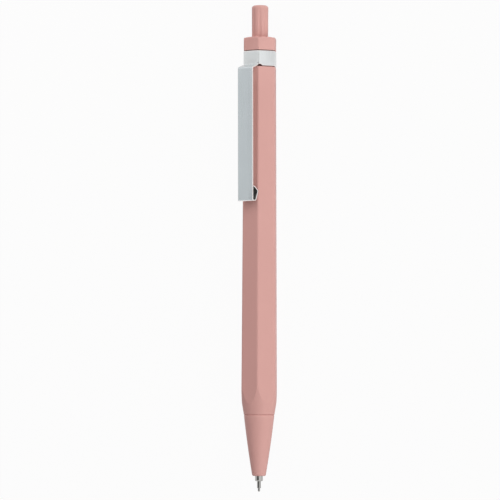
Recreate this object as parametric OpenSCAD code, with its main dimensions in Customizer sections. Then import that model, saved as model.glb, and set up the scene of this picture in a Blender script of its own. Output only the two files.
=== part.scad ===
// Hexagonal retractable pen with a sheet metal pocket clip, lying on the flat under the clip.
// Every piece is drawn upright first: the axis is Z, height 0 is the nose seam, the clip faces +X.

/* [Barrel] */
// Length from the nose seam to the shoulder under the clip band
barrel_length = 101.75; // [80:0.25:130]
// Width across the flats at the widest place, near the nose
barrel_flats = 9.95; // [9.6:0.05:11]
// Width across the flats at the shoulder under the clip band
barrel_flats_top = 9.08; // [9:0.02:9.5]
// Depth that is turned off each long corner
corner_cut = 0.12; // [0.05:0.01:0.25]
// Length of the turned cone that cuts the corners at the nose end
cone_length = 7.4; // [5:0.1:12]
// Diameter at the seam between barrel and nose
seam_diameter = 8.9; // [8.4:0.05:9.4]
// Bevel on each side of the seam
seam_bevel = 0.12; // [0.05:0.01:0.3]
// Bore at both ends, for the nose, the collar and the cam sleeve
end_bore = 7; // [6.6:0.05:7.2]
// Bore between the two ends
middle_bore = 6.4; // [6.2:0.05:6.5]

/* [Nose] */
// Length of the nose from its seam to its open end
nose_length = 17.8; // [15:0.1:24]
// Diameter of the open end before its edge is rounded
nose_end_diameter = 3.9; // [3.7:0.05:4.6]
// How far the side of the cone bulges at half height
nose_bulge = 0.13; // [0:0.01:0.3]
// Radius of the edge of the open end
nose_end_round = 0.5; // [0.2:0.05:0.6]
// Length of the narrow bore that guides the refill tip
guide_length = 7.6; // [6.5:0.1:9]
// Diameter of the spring chamber
chamber_diameter = 4.5; // [4.4:0.05:4.8]
// Length of the threaded spigot inside the barrel
nose_spigot = 9; // [6:0.5:14]

/* [Clip] */
// Thickness of the sheet metal
sheet = 0.42; // [0.35:0.01:0.5]
// Width across the flats of the band
band_flats = 9.27; // [9.2:0.01:9.6]
// Height of the band
band_height = 4.4; // [3.5:0.1:6]
// Depth that is rounded off each corner of the band
band_corner_cut = 0.16; // [0.05:0.01:0.2]
// Radius of the relief notches beside the root of the arm
relief_radius = 0.65; // [0.3:0.05:0.9]
// Turn of the relief notches past the corners beside the arm, in degrees
relief_turn = 6.5; // [0:0.5:10]
// Width of the arm
clip_width = 5.2; // [4:0.1:5.3]
// Distance from the underside of the band to the end of the arm
clip_length = 39.7; // [25:0.1:60]
// Distance from the barrel to the arm's outer face, under the shoulder
clip_reach = 3.1; // [2.4:0.05:4]
// Distance from the barrel to the arm's outer face, at the end
clip_end_reach = 2.65; // [2.4:0.05:4]
// Fall of the shoulder, in degrees below square
shoulder_angle = 19.5; // [10:0.5:40]
// Length of the folded foot along the arm
foot_length = 4.1; // [3:0.1:6]
// Place of the foot's heel, as a share of the foot's length
foot_heel = 0.74; // [0.4:0.01:0.8]
// Clearance of the folded foot over the barrel
foot_gap = 0.12; // [0.05:0.01:0.3]

/* [Top end] */
// Length of the neck that carries the band
neck_length = 4.7; // [4.6:0.1:7]
// Width across the flats of the collar
collar_flats = 9.13; // [9:0.01:9.4]
// Height of the collar's head
collar_height = 3.9; // [3:0.1:6]
// Bevel round the top edge of the collar
collar_bevel = 0.35; // [0.1:0.05:0.6]
// Length of the collar's spigot inside the barrel
collar_spigot = 6; // [4:0.5:10]
// Diameter of the push button
button_diameter = 4.85; // [4.6:0.05:5]
// Height of the push button above the collar, with the point out
button_projection = 9.5; // [8:0.1:14]
// Radius of the button's top edge
button_round = 0.7; // [0.3:0.05:1.2]
// Number of flutes round the button
flute_count = 8; // [4:1:12]
// Depth of a flute where the button enters the collar
flute_depth = 0.13; // [0.05:0.01:0.2]

/* [Mechanism] */
// Distance that the point draws back into the nose
retract_travel = 5.5; // [4.5:0.1:6]
// Further press that frees the latch
overtravel = 1; // [0.5:0.1:1.5]
// Length of the plunger's guide section
plunger_length = 5.6; // [4:0.1:8]
// Height of the cam rotor above the end of the refill
rotor_height = 4.85; // [4.5:0.05:6]
// Depth of the cam teeth
tooth_depth = 0.6; // [0.3:0.05:0.8]
// Diameter of the rotor's core
rotor_core = 4.5; // [4.2:0.05:4.7]
// Diameter over the rotor's ribs
rib_diameter = 5.8; // [5.6:0.05:5.9]
// Diameter of the plunger's stem in the button
stem_diameter = 3.2; // [2.8:0.05:3.4]
// Diameter of the rotor's pilot pin
pilot_diameter = 1.8; // [1.4:0.05:2]

/* [Refill] */
// Length of the tip that stands out of the nose
point_projection = 4.58; // [3.8:0.02:5]
// Diameter of the refill tube
tube_diameter = 3; // [2.8:0.05:3.2]
// Wall of the refill tube
tube_wall = 0.45; // [0.3:0.05:0.6]
// Diameter of the metal tip holder
holder_diameter = 2.3; // [2.2:0.02:2.4]
// Length of the slim point in front of the holder
point_length = 3.05; // [2.4:0.05:3.5]
// Diameter of the slim point
point_diameter = 1.1; // [1:0.02:1.4]
// Length of the fine end that holds the ball
fine_length = 1; // [0.8:0.05:1.3]
// Diameter of the fine end
fine_diameter = 0.64; // [0.62:0.01:0.8]
// Diameter of the writing ball
ball_diameter = 0.5; // [0.4:0.01:0.52]
// Length of the ink column behind the holder
ink_length = 62; // [20:1:75]
// Length of the grease follower behind the ink
follower_length = 3; // [2:0.5:6]
// Length of the plug at the end of the tube
plug_length = 2.5; // [2:0.1:4]

/* [Spring] */
// Length of the return spring with the point out
spring_length = 14; // [11:0.5:16]
// Mean diameter of the spring
spring_diameter = 3.86; // [3.8:0.02:3.9]
// Diameter of the spring wire
wire = 0.36; // [0.3:0.02:0.4]
// Number of turns
spring_turns = 9; // [6:1:11]

/* [Clearances] */
// Clearance round pieces that are pressed or glued together
press_gap = 0.02; // [0.01:0.01:0.05]
// Clearance round pieces that slide or turn
slide_gap = 0.08; // [0.05:0.01:0.1]
// Clearance between faces that stop against each other
stop_gap = 0.05; // [0.02:0.01:0.1]

/* [Hidden] */
$fn = 96;

rose = [0.86, 0.66, 0.63];
steel = [0.78, 0.79, 0.8];
nickel = [0.7, 0.69, 0.66];
nylon = [0.93, 0.92, 0.88];
ink_blue = [0.1, 0.16, 0.5];
clear_tube = [0.88, 0.9, 0.92];
grease = [0.9, 0.82, 0.5];

// Small overlap that keeps cutters clear of the faces they pass
past = 0.5;
faces = 6;
half_face = 180 / faces;

// Heights along the pen, upwards from the nose seam
nose_end_z = -nose_length;
point_z = nose_end_z - point_projection;
chamber_floor = nose_end_z + guide_length;
seat_z = chamber_floor + spring_length;
collar_seat = barrel_length + neck_length;
collar_top = collar_seat + collar_height;
button_top = collar_top + button_projection;
spigot_end = collar_seat - collar_spigot;
guide_top = spigot_end - retract_travel - stop_gap;
plunger_end = guide_top - plunger_length;
rotor_top = plunger_end - stop_gap;
refill_end = rotor_top - rotor_height;

// Placing on the ground, with the middle of the length at the origin
middle_z = (button_top + point_z) / 2;
axis_height = barrel_flats / 2;

// Half the width across the flats of the tapered barrel at a height
taper = atan((barrel_flats - barrel_flats_top) / 2 / (barrel_length - cone_length));
function flat_half(z) = barrel_flats / 2 - tan(taper) * (z - cone_length);
function corner_radius(flats, cut) = flats / 2 / cos(half_face) - cut;

// Barrel
nose_bore_clear = 1;
nose_bore_depth = nose_spigot + nose_bore_clear;
wide_corner = corner_radius(barrel_flats, corner_cut);
shoulder_corner = wide_corner * flat_half(barrel_length) / flat_half(cone_length);
cone_bow = 250;
neck_flats = band_flats - 2 * (sheet + press_gap);

// Nose
thread_gap = slide_gap / 2;
guide_bore = holder_diameter + 2 * slide_gap;
nose_steps = 8;

// Cam mechanism
sleeve_outer = end_bore - 2 * press_gap;
sleeve_inner = rib_diameter + 4 * slide_gap;
spline_count = 4;
spline_width = 0.62;
spline_clear = 0.25;
spline_inner = rotor_core + 2 * spline_clear;
spline_root = 0.2;
rib_start = 0.6;
rib_width = 0.8;
rib_below_teeth = 0.2;
rib_height = rotor_height - tooth_depth - rib_start - rib_below_teeth;
rib_turn = 26.5;
sleeve_end = refill_end + rib_start - overtravel;
cup_depth = 2;
pilot_length = 3.6;
stem_length = 17;

// Button
button_hole = button_diameter + 2 * slide_gap;
flute_radius = 1.1;
flute_turn = 33;
flute_rise = atan(flute_depth / button_projection);
flute_below = retract_travel + 1;

// Refill
tube_clear = 0.8;
tube_front = chamber_floor + overtravel + tube_clear;
tube_bore = tube_diameter - 2 * tube_wall;
inner_fit = tube_bore - 2 * press_gap;
holder_insert = 4;
point_insert = 2.2;
ink_start = tube_front + holder_insert + stop_gap;
follower_start = ink_start + ink_length + stop_gap;
seat_length = 1.6;
seat_diameter = chamber_diameter - 4 * slide_gap;
ball_gap = 0.02;
rim_z = ball_diameter / 3;
channel = 0.3;
vent = 0.6;

// Clip arm, as a bent line through the middle of the sheet in the X and Z plane
knuckle_gap = 0.06;
knuckle_x = (band_flats - sheet) / 2;
knuckle_lift = 0.14;
knuckle_z = barrel_length + sheet / 2 + knuckle_lift;
window_top = knuckle_z + sheet / 2 + knuckle_gap;
arm_end_z = barrel_length - clip_length;
arm_top_x = flat_half(barrel_length) + clip_reach - sheet / 2;
arm_top_z = knuckle_z - (arm_top_x - knuckle_x) * tan(shoulder_angle);
arm_end_x = flat_half(arm_end_z) + clip_end_reach - sheet / 2;
heel_z = arm_end_z + foot_length * foot_heel;
foot_inner_x = flat_half(heel_z) + foot_gap + sheet / 2;
foot_ledge = 1;
foot_slant = 0.05;
fold_back_x = arm_end_x - sheet - stop_gap;
arm_corners = [
    [knuckle_x, knuckle_z],
    [arm_top_x, arm_top_z],
    [arm_end_x, arm_end_z + sheet / 2],
    [arm_end_x - foot_ledge, arm_end_z + sheet / 2 + foot_slant],
    [foot_inner_x, heel_z],
    [fold_back_x, arm_end_z + foot_length]
];
shoulder_bend = 0.9;
fold_bend = 0.3;
heel_bend = 0.4;
arm_bends = [0, shoulder_bend, fold_bend, fold_bend, heel_bend, 0];
bend_steps = 5;
knuckle_steps = 8;

function unit(v) = v / norm(v);
function left_of(v) = [-v[1], v[0]];

// Points of the arc that rounds the corner b between a and c
function corner_arc(a, b, c, radius) =
    let (u = unit(a - b), v = unit(c - b), half = acos(u * v) / 2)
    let (centre = b + unit(u + v) * radius / sin(half), reach = radius / tan(half))
    let (first = b + u * reach - centre, last = b + v * reach - centre)
    [for (i = [0:bend_steps]) centre + radius * unit(first + (last - first) * i / bend_steps)];

// A line of corners with each bend rounded
function bent_line(corners, bends) = [
    for (i = [0:len(corners) - 1])
        each bends[i] == 0
            ? [corners[i]]
            : corner_arc(corners[i - 1], corners[i], corners[i + 1], bends[i])
];

// The offset of one point of a line, square to the line or along the mitre
function aside(line, i, distance) =
    let (n = len(line) - 1)
    let (before = left_of(unit(line[max(i, 1)] - line[max(i, 1) - 1])))
    let (after = left_of(unit(line[min(i, n - 1) + 1] - line[min(i, n - 1)])))
    let (mitre = unit(before + after))
    line[i] + mitre * distance / (mitre * before);

arm_line = bent_line(arm_corners, arm_bends);
knuckle_back = atan2(arm_corners[0][1] - arm_corners[1][1], arm_corners[0][0] - arm_corners[1][0]);
arm_outline = concat(
    [for (i = [0:len(arm_line) - 1]) aside(arm_line, i, sheet / 2)],
    [for (i = [len(arm_line) - 1:-1:0]) aside(arm_line, i, -sheet / 2)],
    [for (i = [1:knuckle_steps - 1])
        let (angle = knuckle_back + 90 - 180 * i / knuckle_steps)
        arm_corners[0] + sheet / 2 * [cos(angle), sin(angle)]]
);

// Return spring, as rings of points along a helix with straight ends
spring_sides = 6;
rings_per_turn = 8;
spring_rings = spring_turns * rings_per_turn;
spring_inset = stop_gap + wire;
spring_bottom = chamber_floor + spring_inset;
spring_rise = spring_length - 2 * spring_inset;
function helix_tangent(angle) =
    unit([-sin(angle), cos(angle), spring_rise / spring_turns / PI / spring_diameter]);
function helix_point(t) =
    let (angle = 360 * spring_turns * min(max(t, 0), 1), over = t - min(max(t, 0), 1))
    [spring_diameter / 2 * cos(angle), spring_diameter / 2 * sin(angle),
        spring_bottom + spring_rise * min(max(t, 0), 1)] + helix_tangent(angle) * sign(over) * wire;
spring_steps = concat([-1], [for (i = [0:spring_rings]) i / spring_rings], [2]);
spring_line = [for (t = spring_steps) helix_point(t)];
spring_frames = [
    for (t = spring_steps)
        let (angle = 360 * spring_turns * min(max(t, 0), 1))
        let (out = [cos(angle), sin(angle), 0])
        [out, cross(helix_tangent(angle), out)]
];
spring_points = [
    for (i = [0:len(spring_line) - 1])
        for (k = [0:spring_sides - 1])
            let (angle = 360 * k / spring_sides)
            spring_line[i] + wire / 2 * (cos(angle) * spring_frames[i][0] + sin(angle) * spring_frames[i][1])
];
spring_last = (len(spring_line) - 1) * spring_sides;
spring_faces = concat(
    [[for (k = [0:spring_sides - 1]) k]],
    [for (i = [0:len(spring_line) - 2])
        for (k = [0:spring_sides - 1])
            let (a = i * spring_sides + k, b = i * spring_sides + (k + 1) % spring_sides)
            each [[a, a + spring_sides, b], [b, a + spring_sides, b + spring_sides]]],
    [[for (k = [spring_sides - 1:-1:0]) spring_last + k]]
);
spring_gap = min([
    for (i = [0:len(spring_line) - 1])
        for (j = [i + rings_per_turn / 2:len(spring_line) - 1])
            norm(spring_line[i] - spring_line[j]) - wire
]);
echo(least_gap_between_spring_turns = spring_gap);

// Lays an upright piece down, with the clip up and the button towards +X
module laid() {
    translate([-middle_z, 0, axis_height])
        rotate([0, 90, 0])
            rotate([0, 0, 180])
                children();
}

module from_to(low, high) {
    translate([0, 0, low])
        linear_extrude(high - low)
            children();
}

module pipe(low, high, outer, inner) {
    difference() {
        from_to(low, high) circle(d = outer);
        from_to(low - past, high + past) circle(d = inner);
    }
}

module hexagon(flats) {
    rotate(half_face)
        circle(d = flats / cos(half_face), $fn = faces);
}

module turned_hexagon(flats, cut) {
    intersection() {
        hexagon(flats);
        circle(r = corner_radius(flats, cut));
    }
}

// Leaning slabs that cut the six tapered flats of the barrel
module flat_cuts() {
    for (i = [0:faces - 1])
        rotate(i * 2 * half_face)
            translate([barrel_flats / 2, 0, cone_length])
                rotate([0, -taper, 0])
                    translate([0, -barrel_flats / 2, -2 * cone_length])
                        cube([barrel_flats, barrel_flats, barrel_length + 2 * cone_length]);
}

// Radial notches that leave a ring of teeth below a height
module tooth_notches(z) {
    side = tooth_depth * sqrt(2);
    for (i = [0:spline_count - 1])
        translate([0, 0, z])
            rotate(i * 180 / spline_count)
                rotate([45, 0, 0])
                    cube([2 * rib_diameter, side, side], center = true);
}

// The turned profile of the barrel before its flats are cut, with a faintly bowed cone below
module barrel_profile() {
    bevel_start = seam_diameter / 2 - seam_bevel;
    seam_edge = [seam_diameter / 2, seam_bevel];
    wide_edge = [wide_corner, cone_length];
    chord = wide_edge - seam_edge;
    bow_depth = sqrt(pow(cone_bow, 2) - chord * chord / 4);
    intersection() {
        polygon([[0, 0], [bevel_start, 0], [bevel_start + cone_length, cone_length], [0, cone_length]]);
        translate((seam_edge + wide_edge) / 2 + left_of(unit(chord)) * bow_depth) circle(r = cone_bow);
    }
    polygon([[0, cone_length], wide_edge, [shoulder_corner, barrel_length], [0, barrel_length]]);
}

module barrel() {
    color(rose)
    laid()
    difference() {
        union() {
            difference() {
                rotate_extrude() barrel_profile();
                flat_cuts();
            }
            from_to(barrel_length - past, collar_seat) hexagon(neck_flats);
        }
        from_to(-past, nose_bore_depth) circle(d = end_bore);
        from_to(nose_bore_depth - past, sleeve_end + past) circle(d = middle_bore);
        from_to(sleeve_end, collar_seat + past) circle(d = end_bore);
    }
}

// The side of the nose, downwards from the seam, then round the edge of its open end
function nose_radius(t) =
    (seam_diameter + (nose_end_diameter - seam_diameter) * t) / 2 + 4 * nose_bulge * t * (1 - t);

module nose_cone() {
    side_end = 1 - nose_end_round / nose_length;
    edge_r = nose_radius(side_end) - nose_end_round;
    color(rose)
    laid()
    rotate_extrude()
        polygon(concat(
            [[seam_diameter / 2 - seam_bevel, 0]],
            [for (i = [0:nose_steps])
                let (z = seam_bevel + (nose_length - nose_end_round - seam_bevel) * i / nose_steps)
                [nose_radius(z / nose_length), -z]],
            [for (angle = [15:15:90])
                [edge_r + nose_end_round * cos(angle),
                    nose_end_z + nose_end_round * (1 - sin(angle))]],
            [
                [guide_bore / 2, nose_end_z],
                [guide_bore / 2, chamber_floor],
                [chamber_diameter / 2, chamber_floor],
                [chamber_diameter / 2, nose_spigot],
                [end_bore / 2 - thread_gap, nose_spigot],
                [end_bore / 2 - thread_gap, 0]
            ]
        ));
}

module top_collar() {
    color(rose)
    laid()
    difference() {
        union() {
            from_to(collar_seat, collar_top) turned_hexagon(collar_flats, corner_cut);
            from_to(spigot_end, collar_seat + past) circle(d = end_bore - 2 * press_gap);
        }
        from_to(spigot_end - past, collar_top + past) circle(d = button_hole);
        for (i = [0:faces - 1])
            rotate(i * 2 * half_face)
                translate([collar_flats / 2 - collar_bevel, 0, collar_top])
                    rotate([0, 45, 0])
                        translate([0, -collar_flats / 2, 0])
                            cube([collar_flats, collar_flats, collar_flats / 2]);
    }
}

module clip_band() {
    band_z = barrel_length + stop_gap;
    color(steel)
    laid()
    difference() {
        from_to(band_z, band_z + band_height) turned_hexagon(band_flats, band_corner_cut);
        from_to(band_z - past, band_z + band_height + past) hexagon(band_flats - 2 * sheet);
        translate([0, -clip_width / 2 - knuckle_gap, band_z - past])
            cube([band_flats, clip_width + 2 * knuckle_gap, window_top - band_z + past]);
        for (side = [-1, 1])
            rotate(side * (half_face + relief_turn))
                translate([0, 0, band_z])
                    rotate([0, 90, 0])
                        cylinder(r = relief_radius, h = band_flats);
    }
}

module clip_arm() {
    color(steel)
    laid()
    rotate([90, 0, 0])
        linear_extrude(clip_width, center = true)
            polygon(arm_outline);
}

module push_button() {
    color(rose)
    laid()
    difference() {
        rotate_extrude()
            polygon(concat(
                [[0, guide_top], [button_diameter / 2, guide_top]],
                [for (angle = [0:15:90])
                    [button_diameter / 2 - button_round * (1 - cos(angle)),
                        button_top - button_round * (1 - sin(angle))]],
                [[0, button_top]]
            ));
        from_to(guide_top - past, guide_top + stem_length + stop_gap)
            circle(d = stem_diameter + 2 * press_gap);
        for (i = [0:flute_count - 1])
            rotate(flute_turn + i * 360 / flute_count)
                translate([button_diameter / 2 + flute_radius - flute_depth, 0, collar_top])
                    rotate([0, flute_rise, 0])
                        translate([0, 0, -flute_below])
                            cylinder(r = flute_radius, h = button_projection + flute_below + past);
    }
}

module thrust_plunger() {
    slot_width = spline_width + 4 * slide_gap;
    color(nylon)
    laid()
    difference() {
        union() {
            from_to(plunger_end, guide_top) circle(d = rib_diameter);
            from_to(guide_top - past, guide_top + stem_length) circle(d = stem_diameter);
        }
        for (i = [0:spline_count - 1])
            rotate(i * 360 / spline_count)
                translate([spline_inner / 2 - slide_gap, -slot_width / 2, plunger_end - past])
                    cube([rib_diameter, slot_width, plunger_length + 2 * past]);
        tooth_notches(plunger_end);
        from_to(plunger_end - past, plunger_end + pilot_length + stop_gap)
            circle(d = pilot_diameter + 2 * slide_gap);
    }
}

module cam_rotor() {
    color(nylon)
    laid()
    difference() {
        union() {
            from_to(refill_end - cup_depth, rotor_top) circle(d = rotor_core);
            from_to(rotor_top - past, rotor_top + pilot_length) circle(d = pilot_diameter);
            for (i = [0:spline_count - 1])
                rotate(rib_turn + i * 360 / spline_count)
                    translate([0, -rib_width / 2, refill_end + rib_start])
                        cube([rib_diameter / 2, rib_width, rib_height]);
        }
        from_to(refill_end - cup_depth - past, refill_end + stop_gap)
            circle(d = tube_diameter + 2 * slide_gap);
        difference() {
            tooth_notches(rotor_top);
            from_to(rotor_top - 2 * tooth_depth, rotor_top + 2 * tooth_depth) circle(d = pilot_diameter);
        }
    }
}

module cam_sleeve() {
    spline_depth = (sleeve_inner - spline_inner) / 2 + spline_root;
    color(nylon)
    laid()
    union() {
        pipe(sleeve_end, spigot_end, sleeve_outer, sleeve_inner);
        for (i = [0:spline_count - 1])
            rotate(i * 360 / spline_count)
                translate([spline_inner / 2, -spline_width / 2, sleeve_end])
                    cube([spline_depth, spline_width, spigot_end - sleeve_end]);
    }
}

module return_spring() {
    color(steel)
    laid()
    polyhedron(spring_points, spring_faces);
}

module refill_tube() {
    color(clear_tube)
    laid()
    pipe(tube_front, refill_end, tube_diameter, tube_bore);
}

module spring_seat() {
    color(clear_tube)
    laid()
    pipe(seat_z, seat_z + seat_length, seat_diameter, tube_diameter + 2 * press_gap);
}

module tip_holder() {
    shoulder = 0.35;
    holder_z = point_z + point_length;
    color(nickel)
    laid()
    difference() {
        rotate_extrude()
            polygon(concat(
                [[0, holder_z]],
                [for (angle = [90:-15:0])
                    [holder_diameter / 2 - shoulder * (1 - cos(angle)),
                        holder_z + shoulder * (1 - sin(angle))]],
                [
                    [holder_diameter / 2, tube_front],
                    [inner_fit / 2, tube_front],
                    [inner_fit / 2, tube_front + holder_insert],
                    [0, tube_front + holder_insert]
                ]
            ));
        from_to(holder_z - past, holder_z + point_insert + stop_gap)
            circle(d = point_diameter + 2 * press_gap);
        from_to(holder_z, tube_front + holder_insert + past) circle(d = 2 * channel);
    }
}

module writing_point() {
    shoulder = 0.2;
    color(nickel)
    laid()
    difference() {
        rotate_extrude()
            polygon(concat(
                [
                    [0, point_z + rim_z],
                    [fine_diameter / 2 - ball_gap, point_z + rim_z],
                    [fine_diameter / 2, point_z + rim_z + ball_gap],
                    [fine_diameter / 2, point_z + fine_length]
                ],
                [for (angle = [90:-15:0])
                    [point_diameter / 2 - shoulder * (1 - cos(angle)),
                        point_z + fine_length + shoulder * (1 - sin(angle))]],
                [
                    [point_diameter / 2, point_z + point_length + point_insert],
                    [0, point_z + point_length + point_insert]
                ]
            ));
        translate([0, 0, point_z + ball_diameter / 2])
            sphere(d = ball_diameter + 2 * ball_gap);
        from_to(point_z + ball_diameter / 2, point_z + point_length + point_insert + past)
            circle(d = channel);
    }
}

module writing_ball() {
    color(nickel)
    laid()
    translate([0, 0, point_z + ball_diameter / 2])
        sphere(d = ball_diameter);
}

module ink_column() {
    color(ink_blue)
    laid()
    from_to(ink_start, ink_start + ink_length) circle(d = inner_fit);
}

module ink_follower() {
    color(grease)
    laid()
    from_to(follower_start, follower_start + follower_length) circle(d = inner_fit);
}

module rear_plug() {
    color(nylon)
    laid()
    pipe(refill_end - plug_length, refill_end, inner_fit, vent);
}

barrel();
nose_cone();
top_collar();
clip_band();
clip_arm();
push_button();
thrust_plunger();
cam_rotor();
cam_sleeve();
return_spring();
refill_tube();
spring_seat();
tip_holder();
writing_point();
writing_ball();
ink_column();
ink_follower();
rear_plug();
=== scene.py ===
"""Looks of a hexagonal push-button pen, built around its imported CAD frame.

The pen lies along X with its writing point towards -X and its clip up. The classes hold their
sizes in millimetres, in the pen's own axes: x towards the clip, y across, s along the pen from
the nose seam.
"""

import logging
import math
from collections.abc import Iterable, Sequence
from dataclasses import dataclass, field
from enum import Enum
from typing import ClassVar

import bmesh
import bpy
from mathutils import Matrix, Vector

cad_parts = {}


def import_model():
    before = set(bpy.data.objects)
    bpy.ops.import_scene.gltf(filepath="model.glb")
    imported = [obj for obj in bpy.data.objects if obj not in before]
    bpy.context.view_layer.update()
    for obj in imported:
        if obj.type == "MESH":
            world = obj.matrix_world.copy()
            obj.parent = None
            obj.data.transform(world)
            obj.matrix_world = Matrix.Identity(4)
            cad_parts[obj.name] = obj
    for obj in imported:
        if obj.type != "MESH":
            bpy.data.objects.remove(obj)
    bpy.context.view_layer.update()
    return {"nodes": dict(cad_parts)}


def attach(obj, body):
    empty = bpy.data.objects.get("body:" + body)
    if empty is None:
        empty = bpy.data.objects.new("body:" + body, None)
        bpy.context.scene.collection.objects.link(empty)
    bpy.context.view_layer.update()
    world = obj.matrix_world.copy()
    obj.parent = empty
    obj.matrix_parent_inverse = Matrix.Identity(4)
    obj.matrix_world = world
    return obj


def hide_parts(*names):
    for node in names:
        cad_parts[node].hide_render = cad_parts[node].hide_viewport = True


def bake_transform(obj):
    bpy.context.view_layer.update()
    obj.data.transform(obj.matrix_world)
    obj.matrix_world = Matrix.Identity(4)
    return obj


LOG = logging.getLogger("pen")
MM = 0.001
TINY = 1e-6
WELD = 1e-8
WHITE = (1, 1, 1, 1)

# Place of the nose seam and of the pen's axis in the frame, in mm.
SEAM_X = -48.735
AXIS_Z = 4.975

FACES = 6
HALF_FACE = math.radians(30)
QUARTER = math.pi / 2

# Least turn that is a corner, share of a side that its rounding may take, and steps of the curves.
LEAST_CORNER = math.radians(20)
LONGEST_SHARE = 0.4
ROUND_STEPS = 3
LEAST_BEND_STEPS = 3
BEND_STEP = math.radians(6)

Colour = tuple[float, float, float]
Point = tuple[float, float, float]
Flat = tuple[float, float]
Face = tuple[int, ...]
Socket = bpy.types.NodeSocket


class Body(Enum):
    """The moving bodies of the frame that pieces ride on."""

    PEN = "pen_body"
    NOSE = "nose"
    CLIP = "clip"
    BUTTON = "button"
    REFILL = "refill"


class ClipFace(Enum):
    """The faces of the clip's sheet, by the number of their finish."""

    FRONT = 0
    EDGE = 1
    INSIDE = 2


class Kind(Enum):
    """The kinds of socket that the shared effects have."""

    COLOUR = "NodeSocketColor"
    NUMBER = "NodeSocketFloat"
    VECTOR = "NodeSocketVector"


def at(x: float, y: float, s: float) -> Vector:
    """Turn a point of the pen's own axes into the frame, in metres."""
    return Vector((SEAM_X + s, -y, AXIS_Z + x)) * MM


def ease(t: float) -> float:
    """Give a smooth step from 0 to 1 for t from 0 to 1."""
    t = min(max(t, 0.0), 1.0)
    return t * t * (3 - 2 * t)


def spread(low: float, high: float, steps: int) -> list[float]:
    """Give evenly spaced values from low to high, both included."""
    return [low + (high - low) * i / steps for i in range(steps + 1)]


def full_turn(steps: int) -> list[float]:
    """Give evenly spaced angles once round the axis."""
    return [math.tau * i / steps for i in range(steps)]


def polar(radius: float, angle: float, s: float) -> Point:
    """Give the point at a radius and an angle round the pen's axis."""
    return radius * math.cos(angle), radius * math.sin(angle), s


def rounding(radius: float, steps: int) -> list[Flat]:
    """Give a rounding's distances from the side and from the end face, step by step."""
    turns = spread(0, QUARTER, steps)
    return [(radius * (1 - math.cos(a)), radius * (1 - math.sin(a))) for a in turns]


def turned(outline: Iterable[Flat], turns: Sequence[float]) -> list[list[Point]]:
    """Give the rings of a turned outline of radii and places, a single point on the axis."""
    return [[polar(r, a, s) for a in turns] if r > TINY else [(0, 0, s)] for r, s in outline]


def softened(outline: Sequence[Flat], radius: float, steps: int = ROUND_STEPS) -> list[Flat]:
    """Round the corners of a closed outline.

    Args:
        outline: Corner points, each a distance from the axis and a place along it.
        radius: Radius of the rounding, less where a side is short.
        steps: Points that each rounding is drawn with, less one.

    Returns:
        The outline with a short curve at each real corner.
    """
    rounded: list[Flat] = []
    for i, corner in enumerate(outline):
        here = Vector(corner)
        back = Vector(outline[i - 1]) - here
        ahead = Vector(outline[(i + 1) % len(outline)]) - here
        turn = back.angle(-ahead)
        if here.x < TINY or turn < LEAST_CORNER:
            rounded.append(corner)
            continue
        longest = LONGEST_SHARE * min(back.length, ahead.length)
        reach = min(radius * math.tan(turn / 2), longest)
        start = here + back.normalized() * reach
        end = here + ahead.normalized() * reach
        for t in spread(0, 1, steps):
            rounded.append(tuple(start * (1 - t) ** 2 + here * 2 * t * (1 - t) + end * t**2))
    return rounded


def bent(corners: Sequence[Flat], radii: Sequence[float]) -> list[Flat]:
    """Round the bends of an open line.

    Args:
        corners: The line's corner points.
        radii: The bend radius at each corner, 0 at the two ends.

    Returns:
        Points along the bent line.
    """
    line: list[Flat] = [corners[0]]
    for before, corner, after, radius in zip(corners, corners[1:], corners[2:], radii[1:]):
        here = Vector(corner)
        back = (Vector(before) - here).normalized()
        ahead = (Vector(after) - here).normalized()
        half = back.angle(ahead) / 2
        centre = here + (back + ahead).normalized() * radius / math.sin(half)
        first = here + back * radius / math.tan(half) - centre
        last = here + ahead * radius / math.tan(half) - centre
        count = max(LEAST_BEND_STEPS, math.ceil((math.pi - 2 * half) / BEND_STEP))
        turn = math.atan2(first.x * last.y - first.y * last.x, first.dot(last))
        for angle in spread(0, turn, count):
            line.append(tuple(centre + Matrix.Rotation(angle, 2) @ first))
    return [*line, corners[-1]]


class Shell:
    """The points and faces of one closed skin."""

    def __init__(self) -> None:
        """Start with no points."""
        self.points: list[Vector] = []
        self.faces: list[Face] = []
        self.finishes: list[int] = []

    def ring(self, points: Iterable[Point]) -> list[int]:
        """Add a ring of points.

        Args:
            points: The points, in the pen's own axes.

        Returns:
            Their numbers.
        """
        start = len(self.points)
        self.points += [at(*p) for p in points]
        return list(range(start, len(self.points)))

    def join(self, low: Sequence[int], high: Sequence[int], finish: int = 0) -> None:
        """Close the strip between two rings, either of which may be a single point.

        Args:
            low: Point numbers of one ring.
            high: Point numbers of the next ring.
            finish: Number of the strip's finish among those of the piece.
        """
        for i in range(max(len(low), len(high))):
            k = i + 1
            start, end = low[i % len(low)], low[k % len(low)]
            quad = (start, end, high[k % len(high)], high[i % len(high)])
            self.cap(tuple(dict.fromkeys(quad)), finish)

    def cap(self, face: Sequence[int], finish: int = 0) -> None:
        """Add a single face with its finish."""
        self.faces.append(tuple(face))
        self.finishes.append(finish)

    def piece(self, name: str, crease: float) -> bpy.types.Object:
        """Make the object of this skin.

        Args:
            name: Name of the piece.
            crease: Edges that turn more than this, in degrees, stay sharp.

        Returns:
            The new object, with normals that keep its flats flat.
        """
        mesh = bpy.data.meshes.new(name)
        mesh.from_pydata(self.points, [], self.faces)
        mesh.polygons.foreach_set("material_index", self.finishes)
        return smooth_piece(name, mesh, crease)


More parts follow.
